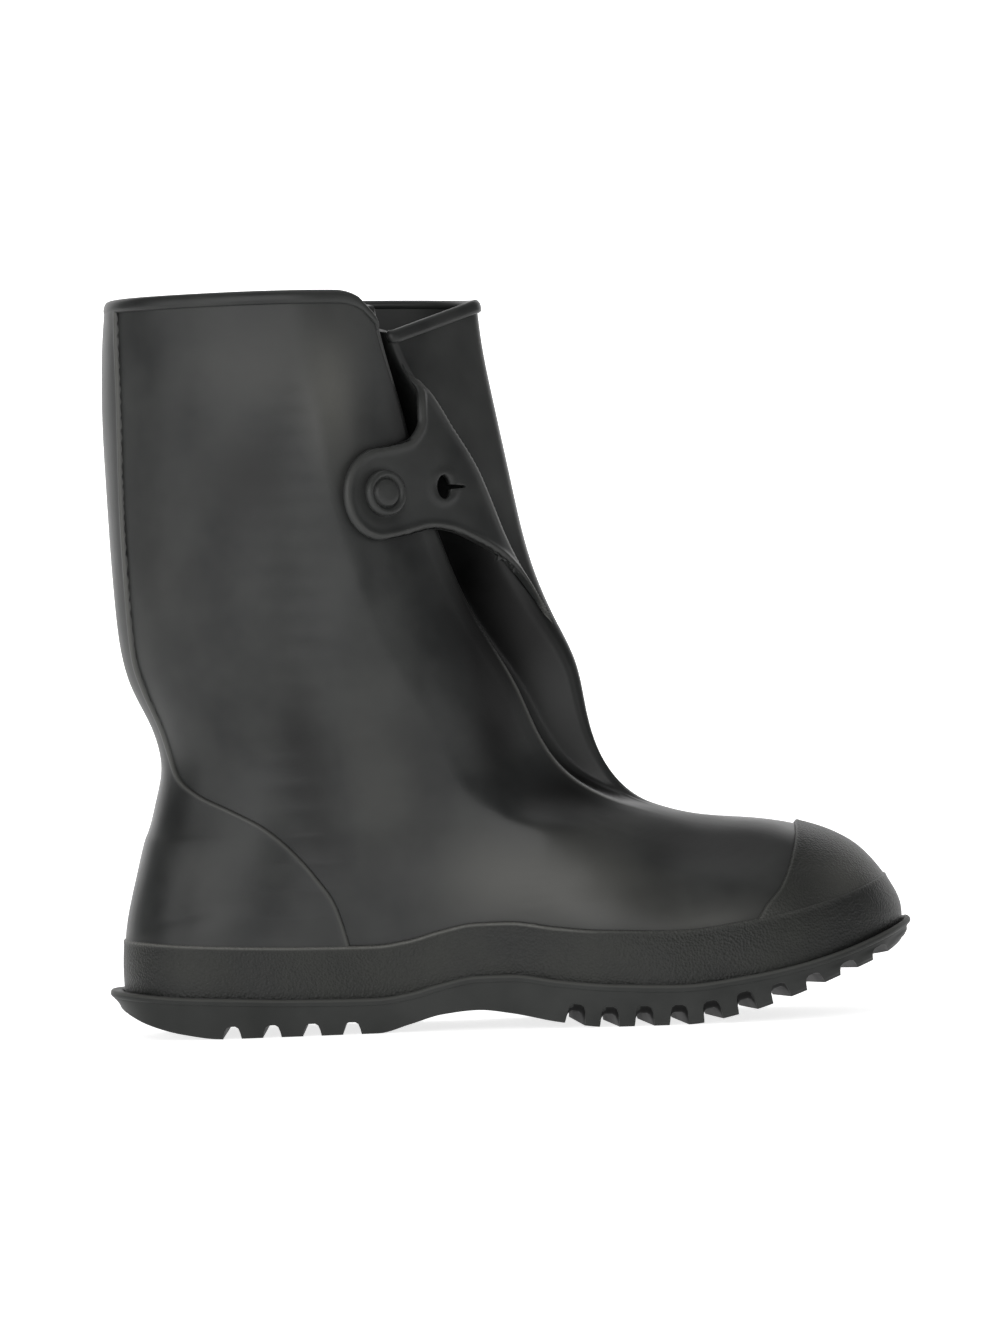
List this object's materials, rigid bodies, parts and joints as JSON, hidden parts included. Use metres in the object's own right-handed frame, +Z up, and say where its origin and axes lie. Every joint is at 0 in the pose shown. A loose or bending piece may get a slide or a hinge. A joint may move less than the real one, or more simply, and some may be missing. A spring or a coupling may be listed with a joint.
{
  "type": "rubber overshoe",
  "caption": "Tall pull-on rubber overshoe with a folding bellows at the front, a buttoned strap, a cleated outsole and a raised toe cap.",
  "frame": {"origin": "on the floor, on a lug under the middle of the heel's tread", "axes": "+X from heel to toe, -Y the outer side with the strap and button, +Z up"},
  "size_m": [0.3007, 0.117, 0.2753],
  "materials": {
    "upper_rubber": "satin black rubber with a faint grey bloom",
    "foxing_rubber": "fine pebbled matt black rubber",
    "outsole_rubber": "matt black moulded rubber",
    "insole_rubber": "dull black rubber sheet"
  },
  "bodies": {
    "root": {"outsole": "outsole_rubber", "insole": "insole_rubber", "upper": "upper_rubber", "foxing": "foxing_rubber", "toe_cap": "foxing_rubber", "heel_counter": "upper_rubber", "collar_band": "upper_rubber", "strap": "upper_rubber", "button": "upper_rubber"}
  },
  "joints": []
}
